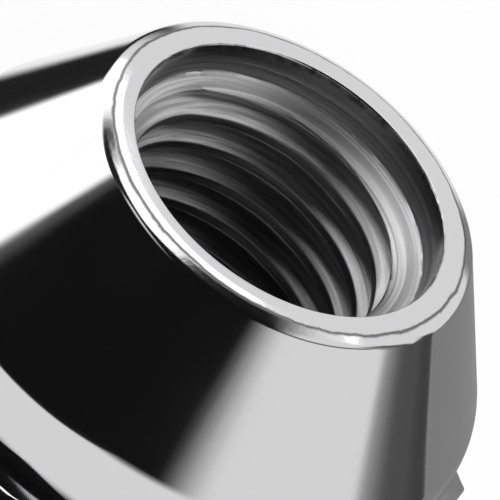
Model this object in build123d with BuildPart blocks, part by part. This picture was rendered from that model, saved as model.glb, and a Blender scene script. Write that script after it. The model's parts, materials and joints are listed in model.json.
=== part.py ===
# Acorn lug nut with a 60 degree conical seat, for M12 x 1.5 wheel studs.
# It lies on one flat of its hexagon, its axis along X and its mouth towards +X.
# Millimetres, Z up, origin on the resting plane below the middle of the nut.
import os
from math import cos, radians, sin, sqrt, tan

from build123d import *

os.makedirs("parts", exist_ok=True)

# Whole nut, from the mouth to the tip of the dome
overall_length = 38.0
end_wall = 9.0

# Stud thread; the wall of the hole stands at the thread's minor diameter
thread_diameter = 12.0
thread_pitch = 1.5
minor_drop_in_pitches = 1.0825
drill_point_angle = 118.0

# Plain tapered mouth before the thread, and the chamfer that leads into it
mouth_over_thread = 0.57
mouth_depth = 1.35
mouth_taper_angle = 14.0
lead_in_angle = 110.0

# Raised nose ring round the mouth, and the conical seat behind it
nose_wall = 1.35
nose_edge_radius = 0.15
nose_straight = 0.1
nose_ledge = 0.21
seat_angle = 60.0

# Round land behind the seat, which rounds over into the front of the hexagon
land_front_radius = 1.2
land_length = 2.3
land_back_radius = 1.9
land_back_length = 1.07

# Hexagon, with corners turned round and bevelled towards the land
across_flats = 22.2
corner_relief = 0.05
bevel_angle = 120.0
bevel_depth = 0.9

# Dome: a taper off the hexagon, closed by a round crown
taper_angle = 60.0
taper_edge_radius = 2.0
crown_radius = 9.5

# Radii of the turned stretches; the land is turned to the width across the flats
bore_radius = (thread_diameter - minor_drop_in_pitches * thread_pitch) / 2
mouth_radius = (thread_diameter + mouth_over_thread) / 2
mouth_floor_radius = mouth_radius - mouth_depth * tan(radians(mouth_taper_angle / 2))
nose_radius = thread_diameter / 2 + nose_wall
seat_front_radius = nose_radius + nose_ledge
land_radius = across_flats / 2
land_foot_radius = land_radius - land_back_radius + sqrt(land_back_radius**2 - land_back_length**2)
turned_radius = across_flats / sqrt(3) - corner_relief
bevel_front_radius = turned_radius - bevel_depth
axis_height = across_flats / 2

# Distances from the mouth along the axis
lead_in_end = mouth_depth + (mouth_floor_radius - bore_radius) / tan(radians(lead_in_angle / 2))
bore_tip = overall_length - end_wall
bore_end = bore_tip - bore_radius / tan(radians(drill_point_angle / 2))
nose_height = nose_edge_radius + nose_straight
land_start = nose_height + (land_radius - seat_front_radius) / tan(radians(seat_angle / 2))
land_end = land_start + land_length
hex_start = land_end + land_back_length
bevel_end = hex_start + bevel_depth / tan(radians(bevel_angle / 2))
taper_slope = radians(taper_angle / 2)
taper_end = overall_length - crown_radius + crown_radius * sin(taper_slope)
taper_end_radius = crown_radius * cos(taper_slope)
taper_start = taper_end - (turned_radius - taper_end_radius) / tan(taper_slope)

# Section plane: its x runs from the mouth into the nut, its y is the distance from the axis
mouth = (overall_length / 2, 0, axis_height)
section_plane = Plane(origin=mouth, x_dir=(-1, 0, 0), z_dir=(0, 1, 0))
hex_plane = Plane(origin=mouth, x_dir=(0, 1, 0), z_dir=(-1, 0, 0)).offset(hex_start)
nut_axis = Axis(mouth, (1, 0, 0))

with BuildPart() as lug_nut:
    # Hexagonal bar
    with BuildSketch(hex_plane):
        RegularPolygon(across_flats / 2, 6, major_radius=False)
    extrude(amount=overall_length - hex_start)

    # Turned form of the bar: bevelled front, round corners, taper and crown
    with BuildSketch(section_plane):
        with BuildLine():
            flank = FilletPolyline(
                (hex_start, 0),
                (hex_start, bevel_front_radius),
                (bevel_end, turned_radius),
                (taper_start, turned_radius),
                (taper_end, taper_end_radius),
                radius=[0, 0, taper_edge_radius],
            )
            TangentArc(flank @ 1, (overall_length, 0), tangent=flank % 1)
            Line((overall_length, 0), (hex_start, 0))
        make_face()
    revolve(axis=nut_axis, mode=Mode.INTERSECT)

    # Nose ring, conical seat and land
    with BuildSketch(section_plane):
        with BuildLine():
            seat = FilletPolyline(
                (0, 0),
                (0, nose_radius),
                (nose_height, nose_radius),
                (nose_height, seat_front_radius),
                (land_start, land_radius),
                (land_end, land_radius),
                radius=[nose_edge_radius, 0, 0, land_front_radius],
            )
            TangentArc(seat @ 1, (hex_start, land_foot_radius), tangent=seat % 1)
            Polyline((hex_start, land_foot_radius), (hex_start, 0), (0, 0))
        make_face()
    revolve(axis=nut_axis)

    # Blind hole with its drill point, lead-in and plain mouth
    with BuildSketch(section_plane):
        with BuildLine():
            Polyline(
                (0, 0),
                (0, mouth_radius),
                (mouth_depth, mouth_floor_radius),
                (lead_in_end, bore_radius),
                (bore_end, bore_radius),
                (bore_tip, 0),
                close=True,
            )
        make_face()
    revolve(axis=nut_axis, mode=Mode.SUBTRACT)

lug_nut.part.label = "lug_nut"
export_step(lug_nut.part, "parts/lug_nut.step")
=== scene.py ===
import json
import math

import bpy
from mathutils import Matrix, Vector


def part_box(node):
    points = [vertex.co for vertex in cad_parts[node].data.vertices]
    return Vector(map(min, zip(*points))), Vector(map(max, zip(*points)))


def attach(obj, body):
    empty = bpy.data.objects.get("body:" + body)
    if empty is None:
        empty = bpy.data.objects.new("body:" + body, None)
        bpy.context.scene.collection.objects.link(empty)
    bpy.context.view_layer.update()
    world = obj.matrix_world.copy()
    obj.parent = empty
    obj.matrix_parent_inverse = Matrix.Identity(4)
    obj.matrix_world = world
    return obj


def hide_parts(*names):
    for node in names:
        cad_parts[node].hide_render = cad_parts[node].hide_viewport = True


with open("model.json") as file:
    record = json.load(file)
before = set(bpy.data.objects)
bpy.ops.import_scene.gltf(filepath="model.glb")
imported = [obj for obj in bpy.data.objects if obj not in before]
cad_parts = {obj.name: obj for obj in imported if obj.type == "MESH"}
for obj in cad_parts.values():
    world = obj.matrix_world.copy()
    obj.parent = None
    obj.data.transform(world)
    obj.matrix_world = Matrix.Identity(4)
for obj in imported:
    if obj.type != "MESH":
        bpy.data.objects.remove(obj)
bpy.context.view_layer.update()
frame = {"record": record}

mm = 0.001
nutLow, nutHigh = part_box("lug_nut")
mouthX = nutHigh.x  # the nut lies along X, its mouth towards +X
axisHeight = (nutLow.z + nutHigh.z) / 2
studMount = next(m for m in frame["record"]["mounts"] if m["name"] == "stud_thread")
print("frame loaded")


# Wraps one node socket, so that shader maths reads as plain expressions
class Wire:
    def __init__(self, tree, socket=None):
        self.tree = tree
        self.socket = socket

    def add(self, kind, settings=None, inputs=None, output=0):
        node = self.tree.nodes.new(kind)
        for name, value in (settings or {}).items():
            setattr(node, name, value)
        for name, value in (inputs or {}).items():
            if isinstance(value, Wire):
                self.tree.links.new(value.socket, node.inputs[name])
            else:
                node.inputs[name].default_value = value
        return Wire(self.tree, node.outputs[output] if node.outputs else None)

    def maths(self, operation, first, second=0.0):
        return self.add("ShaderNodeMath", {"operation": operation}, {0: first, 1: second})

    def __add__(self, other):
        return self.maths("ADD", self, other)

    def __radd__(self, other):
        return self.maths("ADD", other, self)

    def __sub__(self, other):
        return self.maths("SUBTRACT", self, other)

    def __rsub__(self, other):
        return self.maths("SUBTRACT", other, self)

    def __mul__(self, other):
        return self.maths("MULTIPLY", self, other)

    def __rmul__(self, other):
        return self.maths("MULTIPLY", other, self)

    def __pow__(self, other):
        return self.maths("POWER", self, other)


def smooth(value, low, high):
    return value.add("ShaderNodeMapRange", {"interpolation_type": "SMOOTHSTEP"},
                     {"Value": value, "From Min": low, "From Max": high})


def band(value, rise, fall):
    return smooth(value, *rise) * (1 - smooth(value, *fall))


# The turned form of the nut, as distances from the mouth and from the axis
nutShape = {
    "mouthRadius": 6.285 * mm,
    "mouthEdge": 0.1 * mm,  # rounding between ring and mouth
    "mouthTop": 0.14 * mm,  # where the outer shell hands over to the thread
    "mouthDepth": 1.35 * mm,  # plain mouth before the thread, slightly tapered
    "mouthTaper": 0.12,
    "leadIn": 1.4,  # slope of the chamfer from the mouth into the thread
    "ringFlatRadius": 6.8 * mm,  # from here the ring leans slightly outwards
    "ringFlatEdge": 0.6 * mm,
    "noseRadius": 7.1 * mm,
    "noseDrop": 0.025 * mm,
    "noseEdge": 0.06 * mm,
    "rootRadius": 7.18 * mm,
    "rootDepth": 0.06 * mm,
    "rootEdge": 0.03 * mm,
    "seatFrontRadius": 7.565 * mm,
    "seatFrontDepth": 0.26 * mm,
    "seatFrontEdge": 0.35 * mm,
    "seatHalfAngle": math.radians(30),
    "landRadius": nutHigh.z / 2,
    "landFront": 1.2 * mm,
    "landLength": 2.3 * mm,
    "landBack": 1.9 * mm,  # the land rounds over until it meets the hexagon's front
    "landBackLength": 1.07 * mm,
    "turnedRadius": nutHigh.y,
    "bevelDepth": 0.9 * mm,
    "bevelFrontEdge": 0.5 * mm,
    "bevelBackEdge": 0.25 * mm,
    "bevelHalfAngle": math.radians(60),
    "taperHalfAngle": math.radians(30),
    "taperEdge": 2.0 * mm,
    "crownRadius": 9.5 * mm,
    "flatEdge": 0.3 * mm,  # softness of the borders of the flats
    "turnSteps": 180,
    "cornerCrowding": 0.55,  # share by which the columns crowd towards the hexagon's corners
    "longRow": 0.3 * mm,
    "guardRow": 0.04 * mm,  # a row close to each rounding keeps long faces straight in the reflections
    "arcStep": math.radians(10),
}

studThread = {
    "pitch": 1.5 * mm,
    "rootRadius": 6.0 * mm,
    "crestRadius": studMount["dims"]["r_mm"] * mm,
    "crestRounding": 0.1 * mm,
    "rootRounding": 0.1 * mm,
    "length": 19.5 * mm,
    "fadeLength": 2.0 * mm,
    "firstCrest": 0.75 * mm,  # depth of the crest that passes straight above the axis
    "mouthBlend": 0.1 * mm,
    "longRow": 0.16 * mm,
    "endWall": 9.0 * mm,
    "drillHalfAngle": math.radians(59),
}


def roundCorners(corners, shape):
    # corners are (depth, radius, rounding); returns the outline with arcs and guard rows
    outline = [Vector(corners[0][:2])]
    for before, here, after in zip(corners, corners[1:], corners[2:]):
        corner = Vector(here[:2])
        inward = (Vector(before[:2]) - corner).normalized()
        outward = (Vector(after[:2]) - corner).normalized()
        if here[2] == 0:
            outline.append(corner)
            continue
        halfOpen = inward.angle(outward) / 2
        reach = here[2] / math.tan(halfOpen)
        middle = corner + (inward + outward).normalized() * here[2] / math.sin(halfOpen)
        turn = math.pi - 2 * halfOpen
        count = max(3, math.ceil(turn / shape["arcStep"]))
        first = corner + inward * reach - middle
        side = 1 if first.x * (-inward.y) - first.y * (-inward.x) > 0 else -1
        outline.append(corner + inward * (reach + shape["guardRow"]))
        for step in range(count + 1):
            angle = side * turn * step / count
            spun = Vector((first.x * math.cos(angle) - first.y * math.sin(angle),
                           first.x * math.sin(angle) + first.y * math.cos(angle)))
            outline.append(middle + spun)
        outline.append(corner + outward * (reach + shape["guardRow"]))
    outline.append(Vector(corners[-1][:2]))
    return outline


def fillRows(outline, longest, fromDepth):
    # splits the long straight runs past fromDepth, where the flats cut across them
    rows = [outline[0]]
    for start, end in zip(outline, outline[1:]):
        gap = (end - start).length
        parts = math.ceil(gap / longest) if min(start.x, end.x) >= fromDepth else 1
        rows += [start.lerp(end, part / parts) for part in range(1, parts + 1)]
    return rows


def drawOutline(name, outline):
    # one vertex, extruded along the outline in the plane above the axis
    bpy.ops.object.select_all(action="DESELECT")
    start = (mouthX - outline[0].x, 0, axisHeight + outline[0].y)
    bpy.ops.mesh.primitive_plane_add(size=mm, location=start)
    piece = bpy.context.active_object
    piece.name = name
    bpy.ops.object.transform_apply(location=True, rotation=True, scale=True)
    bpy.ops.object.mode_set(mode="EDIT")
    bpy.ops.mesh.merge(type="CENTER")
    for here, there in zip(outline, outline[1:]):
        move = (here.x - there.x, 0, there.y - here.y)
        bpy.ops.mesh.extrude_region_move(TRANSFORM_OT_translate={"value": move})
    bpy.ops.object.mode_set(mode="OBJECT")
    return piece


def spinOutline(name, outline, steps):
    piece = drawOutline(name, outline)
    bpy.ops.object.mode_set(mode="EDIT")
    bpy.ops.mesh.select_all(action="SELECT")
    bpy.ops.mesh.spin(steps=steps, angle=2 * math.pi, center=(0, 0, axisHeight), axis=(1, 0, 0))
    bpy.ops.mesh.select_all(action="SELECT")
    bpy.ops.mesh.remove_doubles(threshold=0.001 * mm)
    bpy.ops.object.mode_set(mode="OBJECT")
    return piece


def polar(point):
    # depth from the mouth, distance from the axis, and angle about it from straight up
    y, z = point.y, point.z - axisHeight
    return mouthX - point.x, math.hypot(y, z), math.atan2(-y, z)


def place(depth, radius, angle):
    return Vector((mouthX - depth, -radius * math.sin(angle), axisHeight + radius * math.cos(angle)))


def softMin(a, b, width):
    blend = max(width - abs(a - b), 0) / width
    return min(a, b) - blend * blend * width / 4


def mouthWall(depth, shape):
    # radius of the plain mouth, and of the chamfer that leads into the thread
    plain = shape["mouthRadius"] - shape["mouthTaper"] * min(depth, shape["mouthDepth"])
    return plain - shape["leadIn"] * max(0, depth - shape["mouthDepth"])


def nutOutline(shape):
    s = shape
    length = mouthX - nutLow.x
    top = s["mouthTop"]
    landStart = s["seatFrontDepth"] + (s["landRadius"] - s["seatFrontRadius"]) / math.tan(s["seatHalfAngle"])
    landEnd = landStart + s["landLength"]
    hexStart = landEnd + s["landBackLength"]
    bevelFront = s["turnedRadius"] - s["bevelDepth"]
    bevelEnd = hexStart + s["bevelDepth"] / math.tan(s["bevelHalfAngle"])
    crownMiddle = length - s["crownRadius"]
    taperEnd = crownMiddle + s["crownRadius"] * math.sin(s["taperHalfAngle"])
    taperEndRadius = s["crownRadius"] * math.cos(s["taperHalfAngle"])
    taperStart = taperEnd - (s["turnedRadius"] - taperEndRadius) / math.tan(s["taperHalfAngle"])
    corners = [
        (top, mouthWall(top, s), 0),
        (0, s["mouthRadius"], s["mouthEdge"]),
        (0, s["ringFlatRadius"], s["ringFlatEdge"]),
        (s["noseDrop"], s["noseRadius"], s["noseEdge"]),
        (s["rootDepth"], s["rootRadius"], s["rootEdge"]),
        (s["seatFrontDepth"], s["seatFrontRadius"], s["seatFrontEdge"]),
        (landStart, s["landRadius"], s["landFront"]),
        (landEnd, s["landRadius"], 0),
    ]
    outline = roundCorners(corners, s)
    outline.insert(-1, outline[-1] - Vector((s["guardRow"], 0)))
    backTurn = math.asin(s["landBackLength"] / s["landBack"])
    backRows = math.ceil(backTurn / (s["arcStep"] / 2))
    for row in range(1, backRows + 1):
        lean = backTurn * row / backRows
        outline.append(Vector((landEnd + s["landBack"] * math.sin(lean),
                               s["landRadius"] - s["landBack"] * (1 - math.cos(lean)))))
    corners = [
        (outline[-1].x, outline[-1].y, 0),
        (hexStart, bevelFront, s["bevelFrontEdge"]),
        (bevelEnd, s["turnedRadius"], s["bevelBackEdge"]),
        (taperStart, s["turnedRadius"], s["taperEdge"]),
        (taperEnd, taperEndRadius, 0),
    ]
    outline += fillRows(roundCorners(corners, s), s["longRow"], hexStart - s["guardRow"])[1:]
    crownTurn = math.pi / 2 - s["taperHalfAngle"]
    crownRows = math.ceil(crownTurn / (s["arcStep"] / 3))
    for row in range(1, crownRows + 1):
        lean = s["taperHalfAngle"] + crownTurn * row / crownRows
        outline.append(Vector((crownMiddle + s["crownRadius"] * math.sin(lean),
                               max(0.0, s["crownRadius"] * math.cos(lean)))))
    return outline, hexStart


def pressFlats(piece, shape, hexStart):
    # brings the turned bar in to its six flats, with softly rounded borders
    apothem = nutHigh.z / 2
    for vertex in piece.data.vertices:
        depth, radius, angle = polar(vertex.co)
        if depth < hexStart - 0.001 * mm or radius < apothem * 0.5:
            continue
        fromFlat = (angle + math.pi / 6) % (math.pi / 3) - math.pi / 6
        vertex.co = place(depth, softMin(radius, apothem / math.cos(fromFlat), shape["flatEdge"]), angle)


def crowdCorners(piece, shape):
    # draws the columns of vertices towards the hexagon's corners
    for vertex in piece.data.vertices:
        depth, radius, angle = polar(vertex.co)
        vertex.co = place(depth, radius, angle + shape["cornerCrowding"] / 6 * math.sin(6 * angle))


def threadOutline(thread):
    # one pitch of the thread, from the middle of a root to the middle of the next
    crestHalf, rootHalf = thread["pitch"] / 8, thread["pitch"] / 16
    half = thread["pitch"] / 2
    corners = [
        (-half, thread["rootRadius"], 0),
        (-half + rootHalf, thread["rootRadius"], thread["rootRounding"]),
        (-crestHalf, thread["crestRadius"], thread["crestRounding"]),
        (crestHalf, thread["crestRadius"], thread["crestRounding"]),
        (half - rootHalf, thread["rootRadius"], thread["rootRounding"]),
        (half, thread["rootRadius"], 0),
    ]
    rounded = roundCorners(corners, {"arcStep": math.radians(30), "guardRow": 0.0})
    return fillRows(rounded, thread["longRow"], -half)


def cutThread(thread, shape):
    turns = math.ceil(thread["length"] / thread["pitch"]) + 2
    deepest = Vector((thread["firstCrest"] + (turns - 2) * thread["pitch"], 0))
    outline = [point + deepest for point in threadOutline(thread)]
    piece = drawOutline("studThread", outline)
    piece.data.transform(Matrix.Translation((0, 0, -axisHeight)))
    screw = piece.modifiers.new("turns", "SCREW")
    screw.axis = "X"
    screw.angle = 2 * math.pi
    screw.screw_offset = thread["pitch"]  # right-handed
    screw.iterations = turns
    screw.steps = screw.render_steps = shape["turnSteps"]
    bpy.ops.object.modifier_apply(modifier=screw.name)
    piece.data.transform(Matrix.Translation((0, 0, axisHeight)))
    top = shape["mouthTop"]
    for vertex in piece.data.vertices:
        depth, radius, angle = polar(vertex.co)
        depth = min(max(depth, top), thread["length"])
        fade = min(1, (thread["length"] - depth) / thread["fadeLength"])
        radius = thread["crestRadius"] + (radius - thread["crestRadius"]) * fade
        wall = mouthWall(depth, shape)
        radius = -softMin(-radius, -wall, thread["mouthBlend"]) if depth > top else wall
        vertex.co = place(depth, radius, angle)
    return piece


def makeNut(shape, thread):
    outline, hexStart = nutOutline(shape)
    shell = spinOutline("lugNut", outline, shape["turnSteps"])
    pressFlats(shell, shape, hexStart)
    turned = cutThread(thread, shape)
    boreTip = mouthX - nutLow.x - thread["endWall"]
    boreEnd = boreTip - thread["crestRadius"] / math.tan(thread["drillHalfAngle"])
    hole = [Vector((thread["length"], thread["crestRadius"])), Vector((boreEnd, thread["crestRadius"])),
            Vector((boreTip, 0))]
    bottom = spinOutline("drillPoint", hole, shape["turnSteps"])
    bpy.ops.object.select_all(action="DESELECT")
    for piece in (turned, bottom, shell):
        piece.select_set(True)
    bpy.context.view_layer.objects.active = shell
    bpy.ops.object.join()
    crowdCorners(shell, shape)
    bpy.ops.object.mode_set(mode="EDIT")
    bpy.ops.mesh.select_all(action="SELECT")
    bpy.ops.mesh.remove_doubles(threshold=0.002 * mm)
    bpy.ops.mesh.normals_make_consistent(inside=False)
    bpy.ops.object.mode_set(mode="OBJECT")
    bpy.ops.object.shade_smooth_by_angle(angle=math.radians(40))
    print("nut", len(shell.data.polygons), "faces")
    return shell


nut = makeNut(nutShape, studThread)
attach(nut, "root")
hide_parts("lug_nut")


chromeFinish = {
    "color": (0.64, 0.64, 0.65),
    "roughness": 0.1,
    "cloudSize": 260.0,
    "cloudShares": (0.6, 0.8),  # least roughness, and what the clouds add
    "waveSize": 420.0,
    "waveRelief": 0.0012,
    # pairs below are soft edges: radii and depths in millimetres, or levels of the noise
    "boreEdge": (6.24, 6.3),
    "boreDepth": ((0.12, 1.0), (29, 30)),
    "boreRoughness": 0.3,
    "deepShadeShare": 0.6,  # share of the colour left deep in the hole: painted shade, darker further into the thread
    "deepShadeDepth": (2.0, 9.0),
    "lineDensity": 5.5,  # fine lines left by the tap, per millimetre
    "lineDrift": (0.0, 90.0, 90.0),  # how soon they change round the hole
    "lineEdge": (0.42, 0.62),
    "lineRelief": 0.02,
    "toolMarks": 0.42,
    "nickSize": 900.0,
    "nickRelief": 0.006,
    "boreNicks": 0.6,
    "raggedness": 0.22,
    "footShadeLine": ((7.05, 7.12), (7.15, 7.24)),  # painted shade line in the crease at the foot of the ring
    "footShadeDepth": (0.25, 0.4),
    "lipLine": ((6.2, 6.26), (6.3, 6.36)),  # broken line at the edge of the mouth
    "lipDepth": (0.2, 0.4),
    "lipGaps": (0.42, 0.6),
    "lineColor": 0.25,  # share of the colour left in both lines: the painted shade at the ring's foot and the worn, broken lip
    "lineRoughness": 0.2,
    "rimBand": ((6.2, 6.3), (7.4, 7.6)),
    "rimDepth": (0.3, 0.5),
}


def chromePlating(finish):
    material = bpy.data.materials.new("chromePlating")
    material.use_nodes = True
    tree = material.node_tree
    shader = tree.nodes["Principled BSDF"]
    shader.inputs["Metallic"].default_value = 1
    wires = Wire(tree)
    spot = wires.add("ShaderNodeTexCoord", None, None, "Object")
    split = spot.add("ShaderNodeSeparateXYZ", None, {0: spot}).socket.node
    x, y, z = (Wire(tree, split.outputs[axis]) * 1000 for axis in "XYZ")  # millimetres
    depth = mouthX / mm - x
    height = z - axisHeight / mm
    radius = (y * y + height * height) ** 0.5
    bore = (1 - smooth(radius, *finish["boreEdge"])) * band(depth, *finish["boreDepth"])
    # painted shade: the colour darkens with depth in the hole
    deepShade = smooth(depth, *finish["deepShadeDepth"]) * bore
    drift = spot.add("ShaderNodeVectorMath", {"operation": "DOT_PRODUCT"},
                     {0: spot, 1: finish["lineDrift"]}, "Value")
    turning = wires.add("ShaderNodeCombineXYZ", None,
                        {"X": depth * finish["lineDensity"], "Y": radius * finish["lineDensity"], "Z": drift})
    lines = wires.add("ShaderNodeTexNoise", None, {"Vector": turning, "Scale": 1.0, "Detail": 3.0})
    tooled = bore * smooth(lines, *finish["lineEdge"])
    nicks = wires.add("ShaderNodeTexNoise", None,
                      {"Vector": spot, "Scale": finish["nickSize"], "Detail": 5.0, "Roughness": 0.65})
    ragged = radius + finish["raggedness"] * (nicks - 0.5)
    # painted shade in the crease at the ring's foot, made rougher too; the lip line below is wear
    ringFootShade = band(ragged, *finish["footShadeLine"]) * (1 - smooth(depth, *finish["footShadeDepth"]))
    ringLip = band(ragged, *finish["lipLine"]) * (1 - smooth(depth, *finish["lipDepth"]))
    wornAndShaded = ringFootShade.maths("MAXIMUM", ringFootShade, ringLip * smooth(nicks, *finish["lipGaps"]))
    share = (1 - deepShade * (1 - finish["deepShadeShare"])) * (1 - wornAndShaded * (1 - finish["lineColor"]))
    share = share * (1 - tooled * finish["toolMarks"])
    color = wires.add("ShaderNodeCombineColor", None,
                      {"Red": share * finish["color"][0], "Green": share * finish["color"][1],
                       "Blue": share * finish["color"][2]})
    clouds = wires.add("ShaderNodeTexNoise", None,
                       {"Vector": spot, "Scale": finish["cloudSize"], "Detail": 4.0})
    least, added = finish["cloudShares"]
    roughness = finish["roughness"] * (least + added * clouds)
    roughness = roughness + bore * finish["boreRoughness"] + wornAndShaded * finish["lineRoughness"]
    rim = band(radius, *finish["rimBand"]) * (1 - smooth(depth, *finish["rimDepth"]))
    waves = wires.add("ShaderNodeTexNoise", None,
                      {"Vector": spot, "Scale": finish["waveSize"], "Detail": 2.0})
    relief = finish["waveRelief"] * waves + finish["nickRelief"] * nicks * (rim + bore * finish["boreNicks"])
    relief = (relief + finish["lineRelief"] * lines * bore) * mm
    bump = wires.add("ShaderNodeBump", None, {"Strength": 1.0, "Distance": 1.0, "Height": relief})
    tree.links.new(bump.socket, shader.inputs["Normal"])
    tree.links.new(color.socket, shader.inputs["Base Color"])
    tree.links.new(roughness.socket, shader.inputs["Roughness"])
    return material


nut.data.materials.clear()
nut.data.materials.append(chromePlating(chromeFinish))
print("chrome done")


# The studio: a white room, a pale floor, a black flag on the camera's side, and low softboxes and the nut's
# shadow painted on a floor card that only the chrome sees
studioRoom = {
    "skyRadius": 0.6,
    "flagLevel": 0.008,
    "flagSide": (-0.4, -0.04),  # soft edge of the flag, as the sideways part of a direction
    "flagOver": (-0.15, 0.3),  # its edge over the nut
    "flagFront": (0.345, 0.4),  # its edge before the mouth, on the far side
    "flagLeft": (0.42, 0.5),  # its slanted edge over the left side
    "flagSlant": 1.25,
    "flagDepth": (0.42, 0.6),  # it is open before the mouth on either side
    "flagOpenRight": (0.25, 0.5),
    "flagOpenLeft": (0.6, 0.8),
    "screenLevel": 0.105,  # low grey screen beyond the nut's right side
    "screenTopLevel": 0.3,  # added towards its top
    "screenFootLevel": 0.065,
    "screenRise": (0.0, 0.24),
    "screenCurve": 1.6,
    "screenTop": (0.19, 0.29),
    "screenSide": (0.7, 0.8),
    "rearLevel": 0.08,  # the room darkens behind the dome
    "rearEdge": (0.64, 0.92),
    "floorSize": 4.0,
    "floorPaint": (0.96, 0.96, 0.96, 1),
    "floorGlowShare": 0.965,  # the rest of the floor's white takes the nut's shadow
    "floorGlowHeight": 0.05 * mm,
    "floorGlowSize": 1.2,
    "softboxLevel": 1.75,
    "shadowLevel": 0.018,
    "farLevel": 0.07,
    "greyShadowLevel": 0.29,
    "lineLevel": 0.5,
}


def stageMaterial(name):
    material = bpy.data.materials.new(name)
    material.use_nodes = True
    material.node_tree.nodes.clear()
    return material, Wire(material.node_tree)


def blend(share, first, second):
    return first + (second - first) * share


def seenByCamera(wires):
    # camera, mirror and glass rays, which all see the room itself
    path = wires.add("ShaderNodeLightPath").socket.node
    rays = [Wire(wires.tree, path.outputs[name]) for name in
            ("Is Camera Ray", "Is Glossy Ray", "Is Transmission Ray")]
    return rays[0].maths("MAXIMUM", rays[0], rays[1].maths("MAXIMUM", rays[1], rays[2]))


def mirrorOnly(card):
    # a card that shows in the chrome but neither to the camera nor as light or shadow
    card.visible_camera = False
    card.visible_diffuse = False
    card.visible_shadow = False
    card.visible_volume_scatter = False


def whiteWorld():
    world = bpy.data.worlds.new("whiteRoom")
    bpy.context.scene.world = world
    world.use_nodes = True
    world.node_tree.nodes.clear()
    wires = Wire(world.node_tree)
    room = wires.add("ShaderNodeBackground", None, {"Color": (1, 1, 1, 1), "Strength": 1.0})
    wires.add("ShaderNodeOutputWorld", None, {"Surface": room})


def paleFloor(room):
    bpy.ops.mesh.primitive_plane_add(size=room["floorSize"], location=(0, 0, 0))
    floor = bpy.context.active_object
    floor.name = "paleFloor"
    material, wires = stageMaterial("paleFloor")
    glow = wires.add("ShaderNodeEmission", None, {"Color": (1, 1, 1, 1), "Strength": 1.0})
    paint = wires.add("ShaderNodeBsdfDiffuse", None, {"Color": room["floorPaint"]})
    share = seenByCamera(wires) * room["floorGlowShare"]
    surface = wires.add("ShaderNodeMixShader", None, {0: share, 1: paint, 2: glow})
    wires.add("ShaderNodeOutputMaterial", None, {"Surface": surface})
    floor.data.materials.append(material)


def skyFlags(room):
    bpy.ops.mesh.primitive_uv_sphere_add(segments=64, ring_count=32, radius=room["skyRadius"],
                                         location=(mouthX, 0, axisHeight))
    sky = bpy.context.active_object
    sky.name = "skyFlags"
    material, wires = stageMaterial("skyFlags")
    spot = wires.add("ShaderNodeTexCoord", None, None, "Object")
    way = spot.add("ShaderNodeVectorMath", {"operation": "NORMALIZE"}, {0: spot})
    split = way.add("ShaderNodeSeparateXYZ", None, {0: way}).socket.node
    x, y, z = (Wire(wires.tree, split.outputs[axis]) for axis in "XYZ")
    flag = smooth(y, *room["flagSide"]) * smooth(x, *room["flagOver"])
    flag = flag.maths("MAXIMUM", flag, smooth(x, *room["flagFront"]))
    flag = flag.maths("MAXIMUM", flag, smooth(x + room["flagSlant"] * y, *room["flagLeft"]))
    opening = smooth(-1 * y, *room["flagOpenRight"]) + smooth(y, *room["flagOpenLeft"])
    flag = flag * (1 - smooth(x, *room["flagDepth"]) * opening)
    screen = smooth(-1 * y, *room["screenSide"]) * (1 - smooth(z, *room["screenTop"]))
    rear = smooth(-1 * x, *room["rearEdge"])
    shown = flag.maths("MAXIMUM", flag.maths("MAXIMUM", flag, screen), rear)
    rise = smooth(z, *room["screenRise"]) ** room["screenCurve"]
    grey = room["screenLevel"] + room["screenTopLevel"] * rise
    level = blend(rear, blend(screen, room["flagLevel"], grey), room["rearLevel"])
    glow = wires.add("ShaderNodeEmission", None, {"Color": level, "Strength": 1.0})
    clear = wires.add("ShaderNodeBsdfTransparent")
    surface = wires.add("ShaderNodeMixShader", None, {0: shown, 1: clear, 2: glow})
    wires.add("ShaderNodeOutputMaterial", None, {"Surface": surface})
    sky.data.materials.append(material)
    mirrorOnly(sky)


# Soft edges of the painted light and painted shadow that the chrome sees on the floor, in millimetres
floorAreas = {
    "mouthLine": (19, 21),
    "leftSlant": 0.52,
    "leftSoftbox": (20.4, 21.9),
    "leftStart": (8, 9),
    "leftShadow": (13.4, 15.2),
    "frontSlant": 1.167,
    "frontSoftbox": (31.2, 32.2),
    "wedgeSlants": (0.5, 3.1),  # dark wedge between the two softboxes
    "wedgeNear": (-3.5, -1.5),
    "wedgeFar": (50, 56),
    "wedgeStart": (27, 33),
    "farEdge": (76, 132),
    "farFade": (140, 600),
    "greyShadowStart": (11, 14),
    "greyEnd": (21, 23),
    "lineStart": (61, 61.5),
    "screenStart": (63.5, 64),
    "screenEnd": (40, 60),
    "screenFade": (64, 170),
}


# a card that only the chrome sees: painted light patches and the nut's painted shadow on the floor
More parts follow.
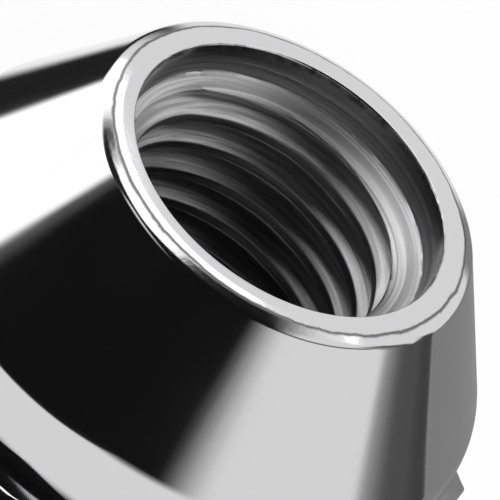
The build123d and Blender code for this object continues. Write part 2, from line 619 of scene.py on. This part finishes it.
def floorGlow(room, areas):
    bpy.ops.mesh.primitive_plane_add(size=room["floorGlowSize"], location=(0, 0, room["floorGlowHeight"]))
    card = bpy.context.active_object
    card.name = "floorGlow"
    material, wires = stageMaterial("floorGlow")
    spot = wires.add("ShaderNodeTexCoord", None, None, "Object")
    split = spot.add("ShaderNodeSeparateXYZ", None, {0: spot}).socket.node
    x, y = (Wire(wires.tree, split.outputs[axis]) * 1000 for axis in "XY")  # millimetres
    right = -1 * y
    ahead = smooth(x, *areas["mouthLine"])
    behind = 1 - ahead
    leftward = y + areas["leftSlant"] * x
    leftSoftbox = smooth(leftward, *areas["leftSoftbox"]) * behind * smooth(y, *areas["leftStart"])
    leftShadow = smooth(leftward, *areas["leftShadow"]) * behind
    frontSoftbox = smooth(x + areas["frontSlant"] * y, *areas["frontSoftbox"]) * ahead
    nearSlant, farSlant = areas["wedgeSlants"]
    wedge = smooth(y - nearSlant * x, *areas["wedgeNear"]) * smooth(farSlant * x - y, *areas["wedgeFar"])
    wedge = wedge * smooth(x, *areas["wedgeStart"])
    greySide = 1 - smooth(x, *areas["greyEnd"])
    screen = smooth(right, *areas["screenStart"]) * (1 - smooth(x, *areas["screenEnd"]))
    screenLevel = blend(smooth(right, *areas["screenFade"]), room["screenFootLevel"], room["screenLevel"])
    farLevel = blend(smooth(y, *areas["farFade"]), room["farLevel"], room["flagLevel"])
    # painted shadow of the nut: grey floor on its right side, seen only in the chrome
    level = blend(smooth(right, *areas["greyShadowStart"]) * greySide, 1.0, room["greyShadowLevel"])
    level = blend(smooth(right, *areas["lineStart"]) * greySide, level, room["lineLevel"])
    level = blend(screen, level, screenLevel)
    level = blend(leftShadow, level, room["shadowLevel"])
    level = blend(leftSoftbox, level, room["softboxLevel"])
    level = blend(frontSoftbox, level, room["softboxLevel"])
    level = blend(wedge, level, room["shadowLevel"])
    level = blend(smooth(y, *areas["farEdge"]), level, farLevel)
    glow = wires.add("ShaderNodeEmission", None, {"Color": level, "Strength": 1.0})
    wires.add("ShaderNodeOutputMaterial", None, {"Surface": glow})
    card.data.materials.append(material)
    mirrorOnly(card)


whiteWorld()
paleFloor(studioRoom)
skyFlags(studioRoom)
floorGlow(studioRoom, floorAreas)
print("studio done")

# The camera, from where the nose ring lies in the 500 by 500 picture
photoCamera = {
    "pictureSize": 500,
    "ringPixel": (290.5, 179.4),
    "pixelsPerMetre": 27960.0,
    "axisLean": math.radians(36.87),  # of the mouth's direction, from straight up in the picture
    "axisToView": math.radians(52.0),
    "cornerTurn": math.radians(112.0),  # of a hexagon corner about the axis, from the camera's side
    "distance": 0.8,
    "sensorWidth": 36.0,
}


def addCamera(shot):
    mouthWay = Vector((1, 0, 0))
    upTurn = shot["cornerTurn"] - math.pi / 2
    up, across = Vector((0, 0, 1)), Vector((0, -1, 0))
    nearSide = up * math.cos(upTurn) - across * math.sin(upTurn)
    side = up * math.sin(upTurn) + across * math.cos(upTurn)
    view, lean = shot["axisToView"], shot["axisLean"]
    back = mouthWay * math.cos(view) + nearSide * math.sin(view)
    along = mouthWay * math.sin(view) - nearSide * math.cos(view)
    right = along * math.sin(lean) + side * math.cos(lean)
    upward = along * math.cos(lean) - side * math.sin(lean)
    pixelsPerMetre = shot["pixelsPerMetre"]
    half = shot["pictureSize"] / 2
    offRight = (shot["ringPixel"][0] - half) / pixelsPerMetre
    offUp = (half - shot["ringPixel"][1]) / pixelsPerMetre
    ringMiddle = Vector((mouthX, 0, axisHeight))
    spot = ringMiddle + back * shot["distance"] - right * offRight - upward * offUp
    bpy.ops.object.camera_add()
    camera = bpy.context.active_object
    camera.data.sensor_width = shot["sensorWidth"]
    camera.data.lens = shot["sensorWidth"] * pixelsPerMetre * shot["distance"] / shot["pictureSize"]
    camera.data.clip_start = shot["distance"] / 10
    camera.matrix_world = Matrix((
        (right.x, upward.x, back.x, spot.x),
        (right.y, upward.y, back.y, spot.y),
        (right.z, upward.z, back.z, spot.z),
        (0, 0, 0, 1),
    ))
    bpy.context.scene.camera = camera
    return camera


addCamera(photoCamera)
bpy.context.scene.view_settings.view_transform = "Standard"
print("camera done")
